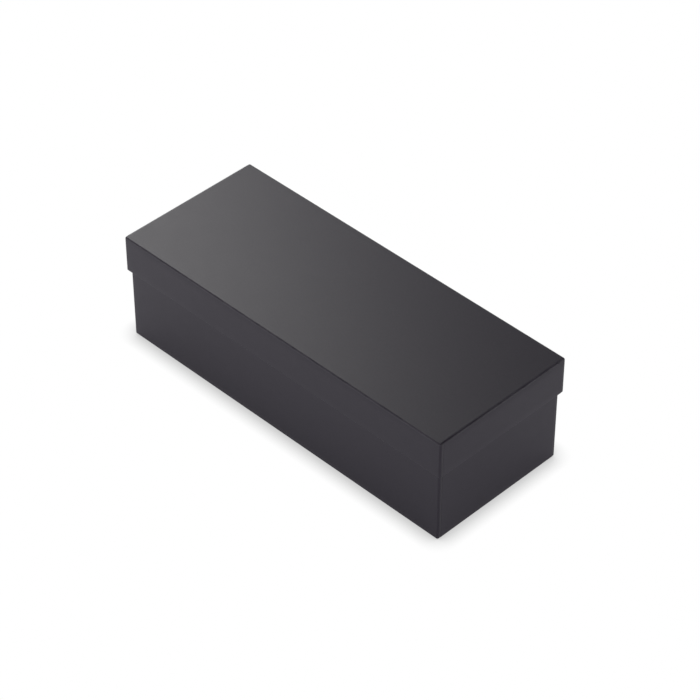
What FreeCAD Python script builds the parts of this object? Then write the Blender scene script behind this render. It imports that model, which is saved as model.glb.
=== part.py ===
"""Board game box: a rigid two-piece box, an open base under a lid that telescopes over its rim.

Each half is a tray folded up from one scored greyboard blank. Gummed paper stays hold its four
corners, a lining covers the inside, and one sheet of covering paper wraps the outside, folds over
the rim and turns in. Millimetres, +Z up, origin in the middle of the underside, length along X.
"""
import FreeCAD, Part
import os
import Sketcher
from math import pi

SIZES = {
    # Outside of the base, and outside depth of the lid.
    "base_length": 295.5,
    "base_width": 114.5,
    "base_height": 85.5,
    "lid_depth": 29.0,
    # Air between the base and the lid on every side.
    "lid_clearance": 0.3,
    # Board and papers.
    "board_thickness": 1.5,
    "wrap_thickness": 0.15,
    "lining_thickness": 0.12,
    "stay_thickness": 0.1,
    # Outer radius of the board at a scored fold, under the covering paper.
    "fold_radius": 1.35,
    # Slit left where two walls of a blank meet, and where two turn-ins are mitred.
    "corner_gap": 0.2,
    # Stays: reach along each wall, and distance from the rim and from the panel.
    "stay_leg": 14.0,
    "stay_end_gap": 3.0,
    # Covering paper: how far an end panel stays back from the corner, how deep the base's turn-in
    # goes, and how much lining the lid's turn-in leaves bare.
    "panel_setback": 3.0,
    "base_turn_in": 20.0,
    "lid_bare_lining": 8.0,
}

BOARD = "Sizes.board_thickness"
WRAP = "Sizes.wrap_thickness"
LINING = "Sizes.lining_thickness"
STAY = "Sizes.stay_thickness"
GAP = "Sizes.corner_gap"
FOLD = "Sizes.fold_radius"

# The rim of the board is a square cut edge, so the paper folds over it as tightly as it can.
RIM_FOLD = f"(2 * {WRAP})"

# Layers of a wall, from outside to inside: covering paper, board, lining, turn-in. On an end wall
# the ears of the long panels lie under the covering paper, which is one layer more.
SIDE_WALL = f"(2 * {WRAP} + {BOARD} + {LINING})"
END_WALL = f"({SIDE_WALL} + {WRAP})"
PANEL = f"({WRAP} + {BOARD} + {LINING})"

# The four corners, by the signs of their X and Y, and the turn that brings a corner's piece there.
CORNERS = {
    "right_back": (1, 1, 0),
    "left_back": (-1, 1, 90),
    "left_front": (-1, -1, 180),
    "right_front": (1, -1, 270),
}

MITRE_ANGLE = 45

UP = FreeCAD.Vector(0, 0, 1)
LENGTHWAYS = FreeCAD.Vector(1, 0, 0)
NEAR = 0.001

doc = FreeCAD.newDocument("board_game_box")


def size_sheet():
    """Write the driving dimensions, one named cell each."""
    sheet = doc.addObject("Spreadsheet::Sheet", "Sizes")
    for row, (alias, value) in enumerate(SIZES.items(), start=1):
        sheet.set(f"A{row}", alias)
        sheet.set(f"B{row}", str(value))
        sheet.setAlias(f"B{row}", alias)
    doc.recompute()


class Tray:
    """One half of the box, as an open tray standing on its panel with its walls going up.

    Its sizes are expressions on the size sheet. The lid is the same tray turned over, with its
    panel's outer face at the height top.
    """

    def __init__(self, name, length, width, depth, turn_in, top=None):
        self.name = name
        self.length = length
        self.width = width
        self.depth = depth
        self.turn_in = turn_in
        self.top = top
        self.board_length = f"({length} - 4 * {WRAP})"
        self.board_width = f"({width} - 2 * {WRAP})"
        self.board_height = f"({depth} - 2 * {WRAP})"
        self.board_top = f"({depth} - {WRAP})"
        self.inside_length = f"({self.board_length} - 2 * {BOARD})"
        self.inside_width = f"({self.board_width} - 2 * {BOARD})"
        self.lined_length = f"({self.inside_length} - 2 * {LINING})"
        self.lined_width = f"({self.inside_width} - 2 * {LINING})"
        self.mouth_length = f"({self.lined_length} - 2 * {WRAP})"
        self.mouth_width = f"({self.lined_width} - 2 * {WRAP})"

    def body(self, piece, x="0", y="0", turn=0):
        """Start one piece of this tray, placed at x, y and turned about the vertical."""
        body = doc.addObject("PartDesign::Body", f"{self.name}_{piece}")
        body.Label = f"{self.name}_{piece}"
        turned = FreeCAD.Rotation(UP, turn)
        height = "0"
        if self.top:
            turned = FreeCAD.Rotation(LENGTHWAYS, 180).multiply(turned)
            y = f"-({y})"
            height = self.top
        body.Placement.Rotation = turned
        body.setExpression(".Placement.Base.x", x)
        body.setExpression(".Placement.Base.y", y)
        body.setExpression(".Placement.Base.z", height)
        return body

    def placed_name(self, corner):
        """Where a corner is on the closed box: turning the lid over swaps back and front."""
        side, end = corner.split("_")
        if self.top:
            end = {"back": "front", "front": "back"}[end]
        return f"{side}_{end}"


def add_sketch(body, name, role, x="0", y="0", z="0"):
    """Start a sketch on one of the body's own planes, moved by x, y and z of that plane."""
    sketch = body.newObject("Sketcher::SketchObject", name)
    plane = next(plane for plane in body.Origin.OriginFeatures if plane.Role == role)
    sketch.AttachmentSupport = [(plane, "")]
    sketch.MapMode = "FlatFace"
    for axis, offset in (("x", x), ("y", y), ("z", z)):
        sketch.setExpression(f".AttachmentOffset.Base.{axis}", offset)
    return sketch


def drive(sketch, name, constraint, expression):
    """Add a dimension and bind it to the size sheet."""
    sketch.renameConstraint(sketch.addConstraint(constraint), name)
    sketch.setExpression(f"Constraints.{name}", expression)


def add_rectangle(sketch, length, width, tag=""):
    """Draw a rectangle centred on the sketch's origin."""
    first = sketch.GeometryCount
    corners = [FreeCAD.Vector(x, y, 0) for x, y in ((-2, -1), (2, -1), (2, 1), (-2, 1))]
    for start, end in zip(corners, corners[1:] + corners[:1]):
        sketch.addGeometry(Part.LineSegment(start, end), False)
    for side in range(4):
        follower = first + (side + 1) % 4
        sketch.addConstraint(Sketcher.Constraint("Coincident", first + side, 2, follower, 1))
    for side in (0, 2):
        sketch.addConstraint(Sketcher.Constraint("Horizontal", first + side))
        sketch.addConstraint(Sketcher.Constraint("Vertical", first + side + 1))
    sketch.addConstraint(Sketcher.Constraint("Symmetric", first, 1, first + 1, 2, -1, 1))
    for name, side, size in (("length", first, length), ("width", first + 1, width)):
        drawn = sketch.Geometry[side].length()
        drive(sketch, f"{name}{tag}", Sketcher.Constraint("Distance", side, drawn), size)


def add_wrapped_profile(sketch, length, height, low_radius, high_radius):
    """Draw a rectangle on the sketch's X axis, with round lower and upper corners."""
    half, top, low, high = 4, 6, 2, 1
    arcs = [
        (half - low, low, low, -pi / 2),
        (half - high, top - high, high, 0),
        (high - half, top - high, high, pi / 2),
        (low - half, low, low, pi),
    ]
    for x, y, radius, start in arcs:
        circle = Part.Circle(FreeCAD.Vector(x, y, 0), UP, radius)
        sketch.addGeometry(Part.ArcOfCircle(circle, start, start + pi / 2), False)
    for arc in range(4):
        follower = (arc + 1) % 4
        start = sketch.getPoint(arc, 2)
        end = sketch.getPoint(follower, 1)
        line = sketch.addGeometry(Part.LineSegment(start, end), False)
        sketch.addConstraint(Sketcher.Constraint("Tangent", arc, 2, line, 1))
        sketch.addConstraint(Sketcher.Constraint("Tangent", line, 2, follower, 1))
    right, upper, left, lower = 4, 5, 6, 7
    sketch.addConstraint(Sketcher.Constraint("PointOnObject", lower, 1, -1))
    sketch.addConstraint(Sketcher.Constraint("Symmetric", lower, 1, lower, 2, -2))
    sketch.addConstraint(Sketcher.Constraint("Vertical", right))
    sketch.addConstraint(Sketcher.Constraint("Vertical", left))
    sketch.addConstraint(Sketcher.Constraint("Horizontal", upper))
    sketch.addConstraint(Sketcher.Constraint("Equal", 0, 3))
    sketch.addConstraint(Sketcher.Constraint("Equal", 1, 2))
    drive(sketch, "low_radius", Sketcher.Constraint("Radius", 0, low), low_radius)
    drive(sketch, "high_radius", Sketcher.Constraint("Radius", 1, high), high_radius)
    drive(sketch, "length", Sketcher.Constraint("DistanceX", left, 2, right, 1, 2 * half), length)
    drive(sketch, "height", Sketcher.Constraint("DistanceY", lower, 1, upper, 1, top), height)


def pad(body, name, sketch, length, both_ways=False):
    feature = body.newObject("PartDesign::Pad", name)
    feature.Profile = sketch
    feature.Midplane = both_ways
    feature.setExpression("Length", length)
    doc.recompute()


def pocket(body, name, sketch, depth):
    """Cut the sketch downwards."""
    before = body.Shape.Volume
    feature = body.newObject("PartDesign::Pocket", name)
    feature.Profile = sketch
    feature.setExpression("Length", depth)
    doc.recompute()
    if body.Shape.Volume >= before:
        raise RuntimeError(f"{body.Label}: {name} cuts nothing")


def slit(body, name, place, turn, sizes):
    """Cut a thin upright box, placed by its lowest corner and turned about it."""
    before = body.Shape.Volume
    feature = body.newObject("PartDesign::SubtractiveBox", name)
    plane = next(plane for plane in body.Origin.OriginFeatures if plane.Role == "XY_Plane")
    feature.AttachmentSupport = [(plane, "")]
    feature.MapMode = "FlatFace"
    feature.AttachmentOffset = FreeCAD.Placement(FreeCAD.Vector(), FreeCAD.Rotation(UP, turn))
    for axis, offset in zip("xyz", place):
        feature.setExpression(f".AttachmentOffset.Base.{axis}", offset)
    for side, size in zip(("Length", "Width", "Height"), sizes):
        feature.setExpression(side, size)
    doc.recompute()
    if body.Shape.Volume >= before:
        raise RuntimeError(f"{body.Label}: {name} cuts nothing")


def round_edges(body, name, radius, wanted):
    """Round the edges whose bounding box is wanted."""
    base = body.Tip
    edges = [f"Edge{i}" for i, edge in enumerate(base.Shape.Edges, start=1) if wanted(edge.BoundBox)]
    feature = body.newObject("PartDesign::Fillet", name)
    feature.Base = (base, edges)
    feature.setExpression("Radius", radius)
    doc.recompute()


def rising_from(level):
    """Edges that lie in a level plane or stand on it."""
    return lambda box: abs(box.ZMin - level) < NEAR


def upright_at(x, y):
    """The upright edge over a point of the plan."""
    return lambda box: abs(box.Center.x - x) < NEAR and abs(box.Center.y - y) < NEAR


def within(outline):
    """Edges in the plane of an outline that reach no further than it."""
    outline.enlarge(NEAR)
    return lambda box: outline.isInside(box)


def wall_slits(body, length, width, thickness, floor, height):
    """Part the end walls from the long walls, which run through to the corners."""
    for corner, (x_sign, y_sign, _) in CORNERS.items():
        x = f"{length} / 2 - {thickness}" if x_sign > 0 else f"-{length} / 2"
        y = f"{width} / 2 - {thickness} - {GAP}" if y_sign > 0 else f"{thickness} - {width} / 2"
        slit(body, f"wall_slit_{corner}", (x, y, floor), 0, (thickness, GAP, height))


def make_stay(tray, corner):
    """Gummed stay: a strip of kraft tape folded round a corner and pressed flush into the board."""
    x_sign, y_sign, turn = CORNERS[corner]
    x = f"{x_sign} * {tray.board_length} / 2"
    y = f"{y_sign} * {tray.board_width} / 2"
    body = tray.body(f"stay_{tray.placed_name(corner)}", x, y, turn)
    leg = "Sizes.stay_leg"
    low = f"({WRAP} + Sizes.stay_end_gap)"
    outside = add_sketch(body, "outside", "XY_Plane", f"-{leg} / 2", f"-{leg} / 2", low)
    add_rectangle(outside, leg, leg)
    height = f"{tray.board_height} - 2 * Sizes.stay_end_gap"
    pad(body, "strip", outside, height)
    middle = f"-({leg} + {STAY}) / 2"
    inside = add_sketch(body, "inside", "XY_Plane", middle, middle, f"{low} + {height}")
    add_rectangle(inside, f"{leg} - {STAY}", f"{leg} - {STAY}")
    pocket(body, "board_corner", inside, height)
    thickness = SIZES["stay_thickness"]
    round_edges(body, "inner_fold", f"{FOLD} - {STAY}", upright_at(-thickness, -thickness))
    round_edges(body, "outer_fold", FOLD, upright_at(0, 0))
    return body


def fold_block(body, tray):
    """Shape the outside of a folded blank as a solid block, round at its scored folds."""
    outline = add_sketch(body, "outline", "XY_Plane", z=WRAP)
    add_rectangle(outline, tray.board_length, tray.board_width)
    pad(body, "block", outline, tray.board_height)
    round_edges(body, "scored_folds", FOLD, rising_from(SIZES["wrap_thickness"]))


def make_board(tray, stays):
    """Greyboard blank: a panel and four walls folded up, with each stay let into its corner."""
    blank = tray.body("blank")
    fold_block(blank, tray)
    inside = add_sketch(blank, "inside", "XY_Plane", z=tray.board_top)
    add_rectangle(inside, tray.inside_length, tray.inside_width)
    wall_height = f"({tray.board_height} - {BOARD})"
    pocket(blank, "hollow", inside, wall_height)
    floor = f"{WRAP} + {BOARD}"
    wall_slits(blank, tray.board_length, tray.board_width, BOARD, floor, wall_height)
    stay_set = doc.addObject("Part::Compound", f"{tray.name}_stay_set")
    stay_set.Links = stays
    board = doc.addObject("Part::Cut", f"{tray.name}_board")
    board.Label = f"{tray.name}_board"
    board.Base = blank
    board.Tool = stay_set
    doc.recompute()
    return board


def make_lining(tray):
    """Lining paper: one sheet on the board's inner face, folded up with the walls to the rim."""
    body = tray.body("lining")
    floor = f"({WRAP} + {BOARD})"
    outline = add_sketch(body, "outline", "XY_Plane", z=floor)
    add_rectangle(outline, tray.inside_length, tray.inside_width)
    pad(body, "folded_sheet", outline, f"{tray.board_height} - {BOARD}")
    inside = add_sketch(body, "inside", "XY_Plane", z=tray.board_top)
    add_rectangle(inside, tray.lined_length, tray.lined_width)
    wall_height = f"({tray.board_height} - {BOARD} - {LINING})"
    pocket(body, "hollow", inside, wall_height)
    wall_slits(body, tray.inside_length, tray.inside_width, LINING, f"{floor} + {LINING}", wall_height)
    return body


def make_wrap(tray):
    """Covering paper: one sheet over the panel and walls, round the corners as ears that the end
    panels cover, over the rim, and down inside as a mitred turn-in."""
    body = tray.body("wrap")
    sleeve = add_sketch(body, "sleeve", "XY_Plane")
    add_rectangle(sleeve, f"{tray.board_length} + 2 * {WRAP}", tray.width)
    pad(body, "panel_walls_and_ears", sleeve, tray.depth)
    rim = body.Tip.Shape.BoundBox.ZMax
    outer_fold = f"{FOLD} + {WRAP}"
    round_edges(body, "outer_folds", outer_fold, rising_from(0))
    round_edges(body, "outer_rim", RIM_FOLD, rising_from(rim))
    ends = add_sketch(body, "end_profile", "XZ_Plane")
    add_wrapped_profile(ends, tray.length, tray.depth, outer_fold, RIM_FOLD)
    pad(body, "end_panels", ends, f"{tray.width} - 2 * Sizes.panel_setback", both_ways=True)
    core = doc.addObject("PartDesign::Body", f"{tray.name}_core")
    fold_block(core, tray)
    board_space = body.newObject("PartDesign::Boolean", "board_space")
    board_space.Type = "Cut"
    board_space.addObject(core)
    doc.recompute()
    mouth = add_sketch(body, "mouth_outline", "XY_Plane", z=tray.depth)
    add_rectangle(mouth, tray.mouth_length, tray.mouth_width)
    pocket(body, "mouth", mouth, WRAP)
    flaps = add_sketch(body, "turn_in_outline", "XY_Plane", z=f"{tray.depth} - {tray.turn_in}")
    add_rectangle(flaps, tray.lined_length, tray.lined_width, "_outside")
    add_rectangle(flaps, tray.mouth_length, tray.mouth_width, "_inside")
    pad(body, "turn_in", flaps, f"{tray.turn_in} - {WRAP}")
    round_edges(body, "inner_rim", RIM_FOLD, within(mouth.Shape.BoundBox))
    mitre_turn_in(body, tray)
    return body


def mitre_turn_in(body, tray):
    """Slit the rim and the turn-in along the diagonal of each corner, from inside the mouth to just
    short of the outer fold."""
    across = f"{GAP} / (2 * sqrt(2))"
    to_corner = f"sqrt(2) * ({tray.board_width} - {tray.mouth_width}) / 2"
    length = f"{to_corner} - (sqrt(2) - 1) * {FOLD}"
    for corner, (x_sign, y_sign, turn) in CORNERS.items():
        x = f"{x_sign} * {tray.mouth_length} / 2 + ({y_sign} - 2 * {x_sign}) * {across}"
        y = f"{y_sign} * {tray.mouth_width} / 2 - ({x_sign} + 2 * {y_sign}) * {across}"
        place = (x, y, f"{tray.depth} - {tray.turn_in} - {GAP}")
        sizes = (length, GAP, f"{tray.turn_in} + 2 * {GAP}")
        slit(body, f"mitre_{corner}", place, turn + MITRE_ANGLE, sizes)


def make_tray(tray):
    stays = [make_stay(tray, corner) for corner in CORNERS]
    return [make_board(tray, stays), make_lining(tray), make_wrap(tray)] + stays


def write_parts(parts):
    """Check the whole document, then write one file for each piece."""
    doc.recompute()
    for item in doc.Objects:
        if "Invalid" in item.State or "Error" in item.State:
            raise RuntimeError(f"{item.Name} is {item.State}")
    for part in parts:
        if part.Shape.isNull() or not part.Shape.isValid() or len(part.Shape.Solids) != 1:
            raise RuntimeError(f"{part.Label} is not one sound solid")
    os.makedirs("parts", exist_ok=True)
    for part in parts:
        part.Shape.exportStep(f"parts/{part.Label}.step")
        print(part.Label, round(part.Shape.Volume, 1), "mm3")


size_sheet()

base = Tray(
    "base",
    length="Sizes.base_length",
    width="Sizes.base_width",
    depth="Sizes.base_height",
    turn_in="Sizes.base_turn_in",
)

# The lid's walls stand one clearance outside the base, and its lined panel lies on the base's rim.
lid = Tray(
    "lid",
    length=f"(Sizes.base_length + 2 * (Sizes.lid_clearance + {END_WALL}))",
    width=f"(Sizes.base_width + 2 * (Sizes.lid_clearance + {SIDE_WALL}))",
    depth="Sizes.lid_depth",
    turn_in=f"(Sizes.lid_depth - {PANEL} - Sizes.lid_bare_lining)",
    top=f"Sizes.base_height + {PANEL}",
)

write_parts(make_tray(base) + make_tray(lid))
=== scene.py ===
from math import cos, pi, radians, sin

import bmesh
import bpy
import numpy as np
from mathutils import Matrix, Vector


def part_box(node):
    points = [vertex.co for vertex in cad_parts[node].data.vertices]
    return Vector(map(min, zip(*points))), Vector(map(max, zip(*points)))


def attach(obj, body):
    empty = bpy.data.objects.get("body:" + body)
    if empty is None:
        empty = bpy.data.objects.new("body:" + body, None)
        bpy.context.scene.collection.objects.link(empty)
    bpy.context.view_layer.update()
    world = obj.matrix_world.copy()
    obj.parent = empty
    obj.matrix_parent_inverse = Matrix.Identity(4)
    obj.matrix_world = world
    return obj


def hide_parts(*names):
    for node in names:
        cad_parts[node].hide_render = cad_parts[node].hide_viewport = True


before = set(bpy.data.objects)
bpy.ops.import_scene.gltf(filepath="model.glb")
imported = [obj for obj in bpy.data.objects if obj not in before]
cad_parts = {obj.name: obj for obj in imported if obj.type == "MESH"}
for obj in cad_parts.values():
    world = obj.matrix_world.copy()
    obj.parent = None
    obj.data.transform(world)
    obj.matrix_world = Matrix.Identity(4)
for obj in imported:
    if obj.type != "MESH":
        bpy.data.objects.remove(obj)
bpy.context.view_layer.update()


# Greyboard blanks: one in each tray, cut from solid recycled board, scored along the folds, slit at
# the corners and folded up into a panel and four walls. The papers cover them on every side.

TRAYS = ("base", "lid")
GREYBOARD_PALE = (0.42, 0.39, 0.345, 1)
GREYBOARD_DARK = (0.27, 0.245, 0.21, 1)
GREYBOARD_FLECK = (0.12, 0.105, 0.09, 1)
GREYBOARD_ROUGHNESS = 0.95
GREYBOARD_SPECULAR = 0.3
GREYBOARD_RELIEF = 0.00006
GREYBOARD_FIBRES = 900
GREYBOARD_CLOUDS = 130
GREYBOARD_FLECKS = (0.62, 0.7)
FIBRE_STRETCH = (0.35, 1, 1)
FIBRE_DETAIL = 4
FIBRE_ROUGHNESS = 0.6
FIBRE_DISTORTION = 0.8
CLOUD_DETAIL = 3


def add_node(tree, kind, inputs=None, **settings):
    """Add a shader node. An input, by name or number, takes a value or another node's socket."""
    node = tree.nodes.new(kind)
    for name, value in settings.items():
        setattr(node, name, value)
    for name, value in (inputs or {}).items():
        if isinstance(value, bpy.types.NodeSocket):
            tree.links.new(value, node.inputs[name])
        else:
            node.inputs[name].default_value = value
    return node


def make_fibre_group():
    """Pressed fibres: short strands drawn out along one direction, and the cloudy look of a sheet."""
    group = bpy.data.node_groups.new("pressed_fibres", "ShaderNodeTree")
    for name, kind in (("Vector", "Vector"), ("Fibre Scale", "Float"), ("Cloud Scale", "Float")):
        group.interface.new_socket(name, in_out="INPUT", socket_type=f"NodeSocket{kind}")
    for name in ("Fibre", "Cloud"):
        group.interface.new_socket(name, in_out="OUTPUT", socket_type="NodeSocketFloat")
    start = group.nodes.new("NodeGroupInput").outputs
    end = group.nodes.new("NodeGroupOutput").inputs
    drawn_out = add_node(group, "ShaderNodeMapping", {"Vector": start["Vector"], "Scale": FIBRE_STRETCH})
    fibre = add_node(group, "ShaderNodeTexNoise", {
        "Vector": drawn_out.outputs[0],
        "Scale": start["Fibre Scale"],
        "Detail": FIBRE_DETAIL,
        "Roughness": FIBRE_ROUGHNESS,
        "Distortion": FIBRE_DISTORTION,
    })
    cloud = add_node(group, "ShaderNodeTexNoise", {
        "Vector": start["Vector"],
        "Scale": start["Cloud Scale"],
        "Detail": CLOUD_DETAIL,
    })
    group.links.new(fibre.outputs["Fac"], end["Fibre"])
    group.links.new(cloud.outputs["Fac"], end["Cloud"])
    return group


FIBRE_GROUP = make_fibre_group()


def start_material(name, roughness, specular, fibre_scale, cloud_scale):
    """Start a paper or board: its tree, its shader and the fibres that its colour and relief follow."""
    material = bpy.data.materials.new(name)
    material.use_nodes = True
    tree = material.node_tree
    shader = tree.nodes["Principled BSDF"]
    shader.inputs["Roughness"].default_value = roughness
    shader.inputs["Specular IOR Level"].default_value = specular
    place = add_node(tree, "ShaderNodeTexCoord").outputs["Object"]
    fibres = add_node(tree, "ShaderNodeGroup", node_tree=FIBRE_GROUP)
    tree.links.new(place, fibres.inputs["Vector"])
    fibres.inputs["Fibre Scale"].default_value = fibre_scale
    fibres.inputs["Cloud Scale"].default_value = cloud_scale
    return material, tree, shader, fibres.outputs


def blend_colours(tree, share, first, second):
    """The colour between first and second, at a share that changes over the surface."""
    mix = add_node(tree, "ShaderNodeMix", {0: share, 7: second}, data_type="RGBA")
    if isinstance(first, bpy.types.NodeSocket):
        tree.links.new(first, mix.inputs[6])
    else:
        mix.inputs[6].default_value = first
    return mix.outputs[2]


def rescale(tree, value, low, high, to_low, to_high):
    """Carry a value from one range to another, and stop it at the ends."""
    ends = {"From Min": low, "From Max": high, "To Min": to_low, "To Max": to_high}
    return add_node(tree, "ShaderNodeMapRange", {"Value": value, **ends}).outputs[0]


def add_relief(tree, shader, height, depth):
    """Raise the surface by up to a depth, in metres, as light sees it."""
    bump = add_node(tree, "ShaderNodeBump", {"Height": height, "Distance": depth})
    tree.links.new(bump.outputs[0], shader.inputs["Normal"])


def make_greyboard():
    """Rough grey board: cloudy between two greys, with dark flecks where the fibres are densest."""
    material, tree, shader, fibres = start_material(
        "greyboard", GREYBOARD_ROUGHNESS, GREYBOARD_SPECULAR, GREYBOARD_FIBRES, GREYBOARD_CLOUDS)
    grey = blend_colours(tree, fibres["Cloud"], GREYBOARD_DARK, GREYBOARD_PALE)
    flecks = rescale(tree, fibres["Fibre"], *GREYBOARD_FLECKS, 0, 1)
    tree.links.new(blend_colours(tree, flecks, grey, GREYBOARD_FLECK), shader.inputs["Base Color"])
    add_relief(tree, shader, fibres["Fibre"], GREYBOARD_RELIEF)
    return material


def dress_node(name, material):
    """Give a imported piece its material."""
    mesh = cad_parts[name].data
    mesh.materials.clear()
    mesh.materials.append(material)


greyboard = make_greyboard()
for tray in TRAYS:
    dress_node(f"{tray}_board", greyboard)


# Corner stays: strips of gummed brown kraft tape, folded round each corner of a folded blank to hold
# its walls together, and pressed flush into the board under the covering paper.

KRAFT_PALE = (0.50, 0.34, 0.19, 1)
KRAFT_DARK = (0.37, 0.23, 0.115, 1)
KRAFT_ROUGHNESS = 0.7
KRAFT_ROUGHNESS_RANGE = (0.55, 0.8)
KRAFT_SPECULAR = 0.35
KRAFT_RELIEF = 0.00003
KRAFT_FIBRES = 1600
KRAFT_CLOUDS = 220
FIBRE_RANGE = (0.3, 0.7)
CORNERS = ("left_front", "right_front", "right_back", "left_back")


def make_kraft_tape():
    """Brown tape: its fibres run between two browns, and its gloss is cloudy."""
    material, tree, shader, fibres = start_material(
        "kraft_tape", KRAFT_ROUGHNESS, KRAFT_SPECULAR, KRAFT_FIBRES, KRAFT_CLOUDS)
    share = rescale(tree, fibres["Fibre"], *FIBRE_RANGE, 0, 1)
    tree.links.new(blend_colours(tree, share, KRAFT_DARK, KRAFT_PALE), shader.inputs["Base Color"])
    cloudy = rescale(tree, fibres["Cloud"], *FIBRE_RANGE, *KRAFT_ROUGHNESS_RANGE)
    tree.links.new(cloudy, shader.inputs["Roughness"])
    add_relief(tree, shader, fibres["Fibre"], KRAFT_RELIEF)
    return material


kraft_tape = make_kraft_tape()
for tray in TRAYS:
    for corner in CORNERS:
        dress_node(f"{tray}_stay_{corner}", kraft_tape)


# Linings: a sheet of thin matt black paper in each tray, glued to the inner face of the board and
# creased along the floor and up the corners. Its edge ends at the rim, under the covering paper.

LINING_DARK = (0.020, 0.0195, 0.0215, 1)
LINING_PALE = (0.045, 0.044, 0.047, 1)
LINING_ROUGHNESS = 0.75
LINING_ROUGHNESS_RANGE = (0.68, 0.82)
LINING_SPECULAR = 0.35
LINING_RELIEF = 0.00002
LINING_FIBRES = 2200
LINING_CLOUDS = 90
LINING_CREASE = 0.0006
MERGE_DISTANCE = 0.000002
SHARP_ANGLE = radians(40)
FOLD_STEPS = 10
RIM_STEPS = 8
SIDE_STEPS = 24
# Rings of a panel from its middle line to its fold, and of a wall from there to the rim. They lie
# close together near the fold.
PANEL_RINGS = np.array([0, 0.2, 0.4, 0.6, 0.75, 0.86, 0.92, 0.935, 0.95, 0.965, 0.98, 0.99, 0.996])
WALL_RINGS = np.array([0.01, 0.02, 0.035, 0.05, 0.07, 0.1, 0.14, 0.2, 0.3, 0.45, 0.6, 0.8, 1])


def tray_sizes(tray):
    """Layers of a tray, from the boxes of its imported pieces: its outer walls, depth and thicknesses."""
    wrap_low, wrap_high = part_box(f"{tray}_wrap")
    board_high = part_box(f"{tray}_board")[1]
    lining_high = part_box(f"{tray}_lining")[1]
    paper = wrap_high.y - board_high.y
    return {
        "half_length": board_high.x + paper,
        "half_width": wrap_high.y,
        "depth": wrap_high.z - wrap_low.z,
        "paper": paper,
        "board": board_high.y - lining_high.y,
        "lining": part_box("lid_lining")[1].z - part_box("base_wrap")[1].z,
    }


def straight(start, end, stops):
    """Points of a profile between two ends, at shares of the way from 0 to 1."""
    return np.add(start, np.outer(stops, np.subtract(end, start)))


def rounded(centre, radius, first, last):
    """Points of a profile on an arc about a centre, from one angle to another. The angle is measured
    from straight out of the wall towards the rim."""
    angle = np.linspace(first, last, FOLD_STEPS + 1)
    return np.column_stack([centre[0] - radius * np.cos(angle), centre[1] + radius * np.sin(angle)])


def panel_and_wall(half_width, level, fold, gap, top):
    """Stretches of one face of a sheet: from the panel's middle line to the fold, round it, and up
    the wall. A profile point is an inset from the outer wall and a height. The face lies at a gap
    inside the sheet's outer face, at whose fold the radius is given."""
    panel = straight((half_width, level + gap), (fold, level + gap), PANEL_RINGS)
    crease = rounded((fold, level + fold), fold - gap, -pi / 2, 0)
    wall = straight((gap, level + fold), (gap, top), WALL_RINGS)
    return panel, crease, wall


def round_the_tray(end_stops, side_stops):
    """Columns round a tray, anticlockwise from its right end. Each has a place on a rectangle, from -1
    to 1 both ways, and a direction, the angle in which its wall faces."""
    quarter = np.linspace(0, pi / 2, FOLD_STEPS + 1)
    places, facings = [], []
    for side in range(4):
        stops = side_stops if side % 2 else end_stops
        facing = side * pi / 2
        turn = np.rint([[cos(facing), sin(facing)], [-sin(facing), cos(facing)]])
        wall = np.column_stack([np.ones(len(stops)), stops])
        corner = np.ones((len(quarter), 2))
        places += [wall @ turn, corner @ turn]
        facings += [np.full(len(stops), facing), facing + quarter]
    return np.concatenate(places), np.concatenate(facings)


def carry_round(profile, half_length, half_width, fold, places, facings):
    """Carry a profile round a tray. A point's corner radius is the fold's radius less its inset, and
    not below zero. The point lies on a rectangle that is smaller by inset and radius, and is pushed
    out by the radius in the direction that its column faces."""
    inset, height = profile.T
    radius = np.maximum(fold - inset, 0)
    x = np.outer(half_length - inset - radius, places[:, 0]) + np.outer(radius, np.cos(facings))
    y = np.outer(half_width - inset - radius, places[:, 1]) + np.outer(radius, np.sin(facings))
    z = np.repeat(height[:, None], len(facings), axis=1)
    return np.stack([x, y, z], axis=-1)


def stand(points, tray):
    """Put a tray's points in place: the base stands on its panel, the lid is turned over on top."""
    if tray == "base":
        return points
    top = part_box("lid_wrap")[1].z
    return points * (1, -1, -1) + (0, 0, top)


def make_sheet(name, points, material, masks=None):
    """Join a grid of rows along a profile and columns round a tray into one closed, smooth mesh."""
    rows, columns = points.shape[:2]
    index = np.arange(rows * columns).reshape(rows, columns)
    following = np.roll(index, -1, axis=1)
    quads = np.stack([index[:-1], following[:-1], following[1:], index[1:]], axis=-1).reshape(-1, 4)
    mesh = bpy.data.meshes.new(name)
    mesh.from_pydata(points.reshape(-1, 3).tolist(), [], quads.tolist())
    for mask, values in (masks or {}).items():
        attribute = mesh.attributes.new(mask, "FLOAT", "POINT")
        attribute.data.foreach_set("value", values.astype(np.float32).ravel())
    merged = bmesh.new()
    merged.from_mesh(mesh)
    bmesh.ops.remove_doubles(merged, verts=merged.verts, dist=MERGE_DISTANCE)
    bmesh.ops.dissolve_degenerate(merged, edges=merged.edges, dist=MERGE_DISTANCE)
    merged.to_mesh(mesh)
    merged.free()
    mesh.shade_smooth()
    mesh.set_sharp_from_angle(angle=SHARP_ANGLE)
    mesh.materials.append(material)
    sheet = bpy.data.objects.new(name, mesh)
    bpy.context.scene.collection.objects.link(sheet)
    return sheet


def make_lining_paper():
    """Matt black paper: its fibres run between two blacks, and its gloss is cloudy."""
    material, tree, shader, fibres = start_material(
        "lining_paper", LINING_ROUGHNESS, LINING_SPECULAR, LINING_FIBRES, LINING_CLOUDS)
    share = rescale(tree, fibres["Fibre"], *FIBRE_RANGE, 0, 1)
    tree.links.new(blend_colours(tree, share, LINING_DARK, LINING_PALE), shader.inputs["Base Color"])
    cloudy = rescale(tree, fibres["Cloud"], *FIBRE_RANGE, *LINING_ROUGHNESS_RANGE)
    tree.links.new(cloudy, shader.inputs["Roughness"])
    add_relief(tree, shader, fibres["Fibre"], LINING_RELIEF)
    return material


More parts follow.
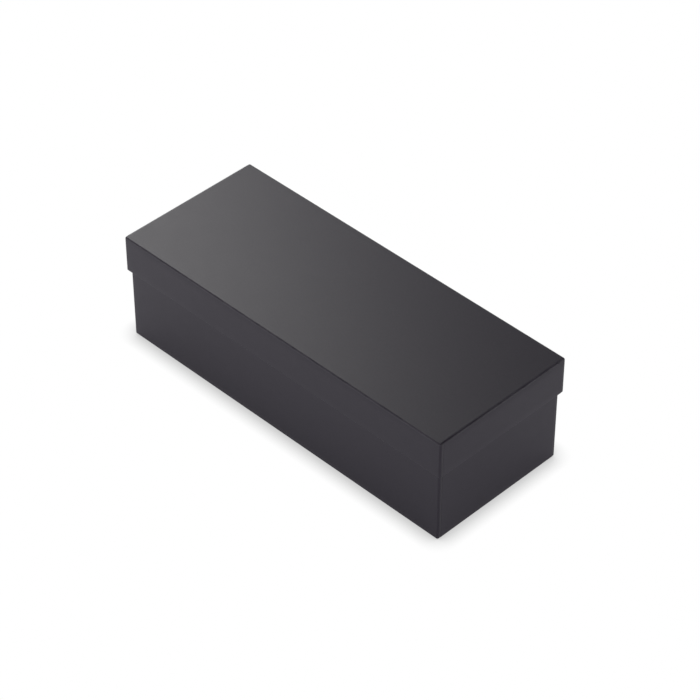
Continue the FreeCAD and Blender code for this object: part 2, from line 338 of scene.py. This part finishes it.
def make_lining(tray, material):
    """A folded sheet: its back face from the middle of the floor up to the rim, and its front face
    back down, carried round the inside of the board."""
    sizes = tray_sizes(tray)
    inset = sizes["paper"] + sizes["board"]
    half_length = sizes["half_length"] - inset
    half_width = sizes["half_width"] - inset
    top = sizes["depth"] - sizes["paper"]
    fold = LINING_CREASE + sizes["lining"]
    back = np.concatenate(panel_and_wall(half_width, inset, fold, 0, top))
    front = np.concatenate(panel_and_wall(half_width, inset, fold, sizes["lining"], top))
    stops = np.linspace(-1, 1, SIDE_STEPS + 1)[1:-1]
    places, facings = round_the_tray(stops, stops)
    profile = np.concatenate([back, front[::-1]])
    points = carry_round(profile, half_length, half_width, fold, places, facings)
    sheet = make_sheet(f"{tray}_lining_paper", stand(points, tray), material)
    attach(sheet, tray)
    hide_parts(f"{tray}_lining")


lining_paper = make_lining_paper()
for tray in TRAYS:
    make_lining(tray, lining_paper)


# Covering papers: one sheet of satin black paper on each tray, glued over the panel and down the
# walls. Ears of its long sides go round the corners, under end panels that stop short of them. At the
# rim the sheet folds over the board and goes down inside as a turn-in, mitred at the corners.

COVER_DARK = (0.0174, 0.0134, 0.0240, 1)
COVER_PALE = (0.0248, 0.0202, 0.0325, 1)
# Paler colour along the folds: mostly a painted highlight, with some wear of the paper.
COVER_FOLD_WEAR_AND_HIGHLIGHT = (0.088, 0.081, 0.098, 1)
COVER_EDGE = (0.048, 0.045, 0.054, 1)
COVER_ROUGHNESS = 0.42
COVER_ROUGHNESS_RANGE = (0.41, 0.43)
COVER_SPECULAR = 0.35
COVER_RELIEF = 0.000012
COVER_FIBRES = 1900
COVER_CLOUDS = 110
FOLD_POLISH = -0.2
OUTER_FOLD = 0.0015
RIM_FOLD = 0.0003
PANEL_SETBACK = 0.003
PANEL_EDGE = 0.00006
TURN_IN = {"base": 0.020, "lid": 0.01923}
MITRE_GAP = 0.0002
MITRE_DEPTH = 0.8
# How far the glued sheet stands proud of a wall, how soon above the fold it gets there, and the power
# with which it goes back to the wall towards the corners.
WALL_BELLY = 0.00022
EASE = 0.005
CORNER_POWER = 8


def cover_profile(sizes, turn_in):
    """Profile of a covering paper as stretches of points, each with its weights: layer, where a second
    layer lies on the ends; fold, most in the middle of a bend; wall, the outer wall, which swells; cut,
    the sheet's cut edge; mitre_up and mitre_out, the way that a slit surface faces."""
    paper = sizes["paper"]
    depth = sizes["depth"]
    inside = 2 * paper + sizes["board"] + sizes["lining"]
    board_top = depth - paper
    outer = panel_and_wall(sizes["half_width"], 0, OUTER_FOLD, 0, depth - RIM_FOLD)
    inner = panel_and_wall(sizes["half_width"], 0, OUTER_FOLD, paper, board_top)
    outer_rim = rounded((RIM_FOLD, depth - RIM_FOLD), RIM_FOLD, 0, pi / 2)
    stops = np.linspace(0, 1, RIM_STEPS)
    rim = straight((2 * RIM_FOLD, depth), (inside - RIM_FOLD, depth), stops)
    inner_rim = rounded((inside - RIM_FOLD, depth - RIM_FOLD), RIM_FOLD, pi / 2, pi)
    flap = straight((inside, depth - RIM_FOLD), (inside, depth - turn_in), stops[1:])
    back = straight((inside - paper, depth - turn_in), (inside - paper, board_top), stops)
    under_rim = straight((inside - paper, board_top), (paper, board_top), stops[1:-1])
    bend = np.linspace(0, pi / 2, FOLD_STEPS + 1)
    rising, falling, bent = np.sin(bend), np.cos(bend), np.sin(2 * bend)
    stretches = [
        (outer[0], {}),
        (outer[1], {"layer": rising, "fold": bent}),
        (outer[2], {"layer": 1, "wall": 1}),
        (outer_rim[1:], {"layer": falling[1:], "fold": bent[1:], "wall": falling[1:]}),
        (rim, {"mitre_up": stops > 0}),
        (inner_rim[1:], {"mitre_up": falling[1:], "mitre_out": rising[1:], "fold": bent[1:]}),
        (flap, {"mitre_out": 1, "cut": np.arange(len(flap)) == len(flap) - 1}),
        (back, {"cut": np.arange(len(back)) == 0}),
        (under_rim, {}),
        (inner[2][::-1], {}),
        (inner[1][::-1], {}),
        (inner[0][::-1], {}),
    ]
    points = np.concatenate([stretch for stretch, _ in stretches])
    weights = {}
    for name in ("layer", "fold", "wall", "cut", "mitre_up", "mitre_out"):
        shares = [np.broadcast_to(given.get(name, 0), len(stretch)) for stretch, given in stretches]
        weights[name] = np.concatenate(shares).astype(float)
    return points, weights


def ease_out(distance):
    """A share that rises from 0 at a fold to 1 a little way from it, ever more slowly."""
    return 1 - (1 - np.clip(distance / EASE, 0, 1)) ** 2


def mitre_columns():
    """Weights of a corner's columns where a slit runs into it: how far each is moved back along the
    wall before the corner and on along the wall after it, and whether it lies in the slit."""
    step = np.arange(FOLD_STEPS + 1)
    middle = FOLD_STEPS / 2
    before = np.clip((middle - step) / (middle - 1), 0, 1)
    in_slit = ((step > 0) & (step < FOLD_STEPS)).astype(float)
    return before, before[::-1], in_slit


def make_cover_paper():
    """Satin black paper: a fine grain, a little cloudy, smoother where it is folded and paler there
    in a painted highlight with some wear, and pale along its cut edges."""
    material, tree, shader, fibres = start_material(
        "covering_paper", COVER_ROUGHNESS, COVER_SPECULAR, COVER_FIBRES, COVER_CLOUDS)
    fold = add_node(tree, "ShaderNodeAttribute", attribute_name="fold").outputs["Fac"]
    cut = add_node(tree, "ShaderNodeAttribute", attribute_name="cut").outputs["Fac"]
    share = rescale(tree, fibres["Fibre"], *FIBRE_RANGE, 0, 1)
    sheet = blend_colours(tree, share, COVER_DARK, COVER_PALE)
    # Paler along the folds: a painted highlight, with some wear of the paper.
    fold_wear_and_highlight = add_node(tree, "ShaderNodeMath", {
        0: fold, 1: fibres["Cloud"]}, operation="MULTIPLY").outputs[0]
    sheet_with_fold_wear_and_highlight = blend_colours(tree, fold_wear_and_highlight, sheet, COVER_FOLD_WEAR_AND_HIGHLIGHT)
    tree.links.new(blend_colours(tree, cut, sheet_with_fold_wear_and_highlight, COVER_EDGE), shader.inputs["Base Color"])
    cloudy = rescale(tree, fibres["Cloud"], *FIBRE_RANGE, *COVER_ROUGHNESS_RANGE)
    polished = add_node(tree, "ShaderNodeMath", {
        0: fold, 1: FOLD_POLISH, 2: cloudy}, operation="MULTIPLY_ADD").outputs[0]
    tree.links.new(polished, shader.inputs["Roughness"])
    add_relief(tree, shader, fibres["Fibre"], COVER_RELIEF)
    return material


def make_cover(tray, material):
    """A covering paper: its closed profile carried round the tray, with a second layer added on the
    ends, the slits of the mitres pressed in, and the walls swelling a little between fold and rim. The
    swelling falls evenly with the height, and with a high power of the way from a wall's middle."""
    sizes = tray_sizes(tray)
    half_length, half_width = sizes["half_length"], sizes["half_width"]
    profile, weights = cover_profile(sizes, TURN_IN[tray])
    flat_end = half_width - OUTER_FOLD
    panel_stop = (half_width - PANEL_SETBACK) / flat_end
    edge_stop = panel_stop + PANEL_EDGE / flat_end
    across = np.linspace(-panel_stop, panel_stop, SIDE_STEPS + 1)
    end_stops = np.concatenate([[-edge_stop], across, [edge_stop]])
    side_stops = np.linspace(-1, 1, 2 * SIDE_STEPS + 1)[1:-1]
    places, facings = round_the_tray(end_stops, side_stops)
    points = carry_round(profile, half_length, half_width, OUTER_FOLD, places, facings)
    outwards = np.column_stack([np.cos(facings), np.sin(facings)])

    before, after, in_slit = mitre_columns()
    slit = np.zeros(len(facings))
    along = np.zeros((len(facings), 2))
    corners = np.flatnonzero(np.abs(places).min(axis=1) == 1).reshape(4, -1)
    for side, columns in enumerate(corners):
        way_in = np.array([-sin(side * pi / 2), cos(side * pi / 2)])
        way_out = np.array([-sin((side + 1) * pi / 2), cos((side + 1) * pi / 2)])
        slit[columns] = in_slit
        along[columns] = MITRE_GAP / np.sqrt(2) * (np.outer(after, way_out) - np.outer(before, way_in))

    on_panel = (np.abs(places[:, 0]) == 1) & (np.abs(places[:, 1]) <= panel_stop)
    mitred = np.maximum(weights["mitre_up"], weights["mitre_out"])
    layer = sizes["paper"] * np.outer(weights["layer"], on_panel)
    pressed = MITRE_DEPTH * sizes["paper"] * slit
    share_x = points[..., 0] / half_length
    share_y = points[..., 1] / half_width
    along_wall = np.where(np.abs(outwards[:, 0]) > np.abs(outwards[:, 1]), share_y, share_x)
    height = profile[:, 1]
    to_rim = np.clip((sizes["depth"] - height) / sizes["depth"], 0, 1)
    swelling = WALL_BELLY * weights["wall"] * ease_out(height - OUTER_FOLD) * to_rim
    belly = swelling[:, None] * np.clip(1 - along_wall ** CORNER_POWER, 0, 1)
    outward = layer + belly + np.outer(weights["mitre_out"], pressed)
    points[..., :2] += outward[..., None] * outwards + mitred[:, None, None] * along
    points[..., 2] -= np.outer(weights["mitre_up"], pressed)

    panel_edge = np.isclose(np.abs(places[:, 1]), edge_stop) & (np.abs(places[:, 0]) == 1)
    # The fold mask makes the paper smoother at its folds and places the painted highlight, with some
    # wear, in its colour.
    masks = {
        "fold": np.outer(weights["fold"], np.ones(len(facings))),
        "cut": np.maximum(weights["cut"][:, None], np.outer(weights["layer"], panel_edge)),
    }
    sheet = make_sheet(f"{tray}_covering_paper", stand(points, tray), material, masks)
    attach(sheet, tray)
    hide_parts(f"{tray}_wrap")


cover_paper = make_cover_paper()
for tray in TRAYS:
    make_cover(tray, cover_paper)


# Studio: the box stands on a wide white table, under a large soft lamp behind it on the left and in
# a dim room that is bright low down, where the table's white goes on.

FLOOR_HALF = 12.0
FLOOR_ALBEDO = 0.8
WHITE = (1, 1, 1, 1)
# The table's shade: how far it reaches from the box and how bright it still is at a wall's foot, where
# half of the sky is open, first as the eye sees it and then as the paper reflects it.
CONTACT_REACH = 0.0133
CONTACT_LEVEL = 0.62
SHADE_REACH = 0.08
SHADE_LEVEL = 0.55
SHADE_SAMPLES = 16
FOOT_OPENNESS = 0.5
# The table as the paper reflects it: levels on the lamp's side and on the far side, the distance from
# the middle at which they are reached, and its tint.
LAMP_SIDE_LEVEL = 1.0
FAR_SIDE_LEVEL = 0.7
FALL_OFF = 0.25
REFLECTED_TINT = (1.01, 0.99, 1.035, 1)
ROOM_LOW = 2.2
ROOM_HIGH = 0.15
ROOM_LOW_END = 0.4
LAMP_SIZE = 0.9
LAMP_POWER = 11.5
LAMP_PLACE = (-0.988, 0.275, 0.875)
LAMP_AIM = (-0.337, -0.357, 0.087)
LAMP_ROLL = 0.4
LAMP_COLOUR = (1.0, 1.0, 0.98)


def make_floor():
    """A flat square, white to the eye and in reflections, with the shade where the box stands."""
    mesh = bpy.data.meshes.new("floor")
    corners = FLOOR_HALF * np.array([(-1, -1, 0), (1, -1, 0), (1, 1, 0), (-1, 1, 0)])
    mesh.from_pydata(corners.tolist(), [], [(0, 1, 2, 3)])
    material = bpy.data.materials.new("white_table")
    material.use_nodes = True
    tree = material.node_tree
    tree.nodes.clear()
    rays = add_node(tree, "ShaderNodeLightPath").outputs
    contact = add_node(
        tree, "ShaderNodeAmbientOcclusion", {"Distance": CONTACT_REACH}, samples=SHADE_SAMPLES)
    near = rescale(tree, contact.outputs["AO"], FOOT_OPENNESS, 1, CONTACT_LEVEL, 1)
    shade = add_node(
        tree, "ShaderNodeAmbientOcclusion", {"Distance": SHADE_REACH}, samples=SHADE_SAMPLES)
    wide = rescale(tree, shade.outputs["AO"], FOOT_OPENNESS, 1, SHADE_LEVEL, 1)
    place = add_node(tree, "ShaderNodeTexCoord").outputs["Object"]
    across = add_node(tree, "ShaderNodeSeparateXYZ", {0: place}).outputs["X"]
    lit = rescale(tree, across, -FALL_OFF, FALL_OFF, LAMP_SIDE_LEVEL, FAR_SIDE_LEVEL)
    reflected = add_node(tree, "ShaderNodeMath", {0: wide, 1: lit}, operation="MULTIPLY").outputs[0]
    mirrored = add_node(tree, "ShaderNodeMath", {
        0: rays["Is Glossy Ray"], 1: rays["Is Transmission Ray"]}, operation="MAXIMUM").outputs[0]
    seen = add_node(tree, "ShaderNodeMath", {
        0: rays["Is Camera Ray"], 1: mirrored}, operation="MAXIMUM").outputs[0]
    level = add_node(tree, "ShaderNodeMix", {0: mirrored, 2: near, 3: reflected}).outputs[0]
    tint = blend_colours(tree, mirrored, WHITE, REFLECTED_TINT)
    white = add_node(tree, "ShaderNodeEmission", {"Color": tint, "Strength": level})
    matt = add_node(tree, "ShaderNodeBsdfDiffuse", {"Color": (FLOOR_ALBEDO,) * 3 + (1,)})
    mix = add_node(tree, "ShaderNodeMixShader", {0: seen, 1: matt.outputs[0], 2: white.outputs[0]})
    add_node(tree, "ShaderNodeOutputMaterial", {"Surface": mix.outputs[0]})
    mesh.materials.append(material)
    floor = bpy.data.objects.new("floor", mesh)
    bpy.context.scene.collection.objects.link(floor)


def light_room():
    """Even light from all round, bright near the horizon and dim above it."""
    world = bpy.data.worlds.new("studio")
    world.use_nodes = True
    tree = world.node_tree
    direction = add_node(tree, "ShaderNodeTexCoord").outputs["Generated"]
    height = add_node(tree, "ShaderNodeSeparateXYZ", {0: direction}).outputs["Z"]
    level = rescale(tree, height, 0, ROOM_LOW_END, ROOM_LOW, ROOM_HIGH)
    tree.links.new(level, tree.nodes["Background"].inputs["Strength"])
    tree.nodes["Background"].inputs["Color"].default_value = WHITE
    bpy.context.scene.world = world


def hang_lamp():
    """A square softbox that faces a point in front of the box on the left, turned about that line."""
    lamp = bpy.data.lights.new("softbox", "AREA")
    lamp.size = LAMP_SIZE
    lamp.energy = LAMP_POWER
    lamp.color = LAMP_COLOUR
    softbox = bpy.data.objects.new("softbox", lamp)
    softbox.location = LAMP_PLACE
    towards = Vector(LAMP_AIM) - Vector(LAMP_PLACE)
    softbox.rotation_euler = towards.to_track_quat("-Z", "Y").to_euler()
    softbox.rotation_euler.rotate_axis("Z", LAMP_ROLL)
    bpy.context.scene.collection.objects.link(softbox)


make_floor()
light_room()
hang_lamp()


# Camera: a long lens, from above at the corner between the front and the right end. It is set a
# little to the right of the box's origin and above it.

CAMERA_AZIMUTH = radians(44.905)
CAMERA_ELEVATION = radians(40.753)
CAMERA_DISTANCE = 1.9047
CAMERA_RIGHT = 0.00714
CAMERA_RAISE = 0.02959
CAMERA_LENS = 141.66
SENSOR = 36.0


def place_camera():
    """The camera looks along its own back vector at a point set off to the right and up."""
    back = Vector((
        sin(CAMERA_AZIMUTH) * cos(CAMERA_ELEVATION),
        -cos(CAMERA_AZIMUTH) * cos(CAMERA_ELEVATION),
        sin(CAMERA_ELEVATION),
    ))
    right = Vector((cos(CAMERA_AZIMUTH), sin(CAMERA_AZIMUTH), 0))
    up = back.cross(right)
    camera = bpy.data.cameras.new("camera")
    camera.lens = CAMERA_LENS
    camera.sensor_width = SENSOR
    viewer = bpy.data.objects.new("camera", camera)
    place = back * CAMERA_DISTANCE + right * CAMERA_RIGHT + up * CAMERA_RAISE
    viewer.matrix_world = Matrix.Translation(place) @ Matrix((right, up, back)).transposed().to_4x4()
    bpy.context.scene.collection.objects.link(viewer)
    bpy.context.scene.camera = viewer


place_camera()
bpy.context.scene.view_settings.view_transform = "Standard"
